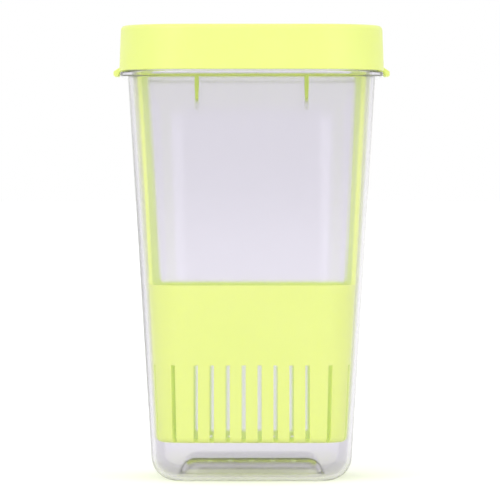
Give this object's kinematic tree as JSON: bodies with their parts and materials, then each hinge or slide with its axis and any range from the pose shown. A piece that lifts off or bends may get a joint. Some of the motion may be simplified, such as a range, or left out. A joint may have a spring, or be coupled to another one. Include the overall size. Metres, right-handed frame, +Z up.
{
  "type": "herb keeper",
  "caption": "Tall square herb keeper: a clear tapered container, a slotted lift-out basket hung by its rim, and a deep lift-off lid with a soft seal.",
  "frame": {"origin": "on the standing plane, under the middle of the container", "axes": "+Z up along the container, front towards -Y, +X to the right seen from the front"},
  "size_m": [0.137, 0.13, 0.2235],
  "materials": {
    "clear_plastic": "clear polished moulded plastic",
    "lime_basket": "lime moulded plastic, satin gloss",
    "lime_lid": "lime moulded plastic, satin gloss",
    "seal_rubber": "soft translucent silicone"
  },
  "bodies": {
    "container": {"container": "clear_plastic"},
    "basket": {"basket": "lime_basket"},
    "lid": {"lid": "lime_lid", "lid_seal": "seal_rubber"}
  },
  "joints": [
    {"name": "basket_lift", "type": "slide", "parent": "container", "child": "basket", "axis": [0, 0, 1], "range_m": [0, 0.21]},
    {"name": "lid_lift", "type": "slide", "parent": "basket", "child": "lid", "axis": [0, 0, 1], "range_m": [0, 0.03]}
  ]
}
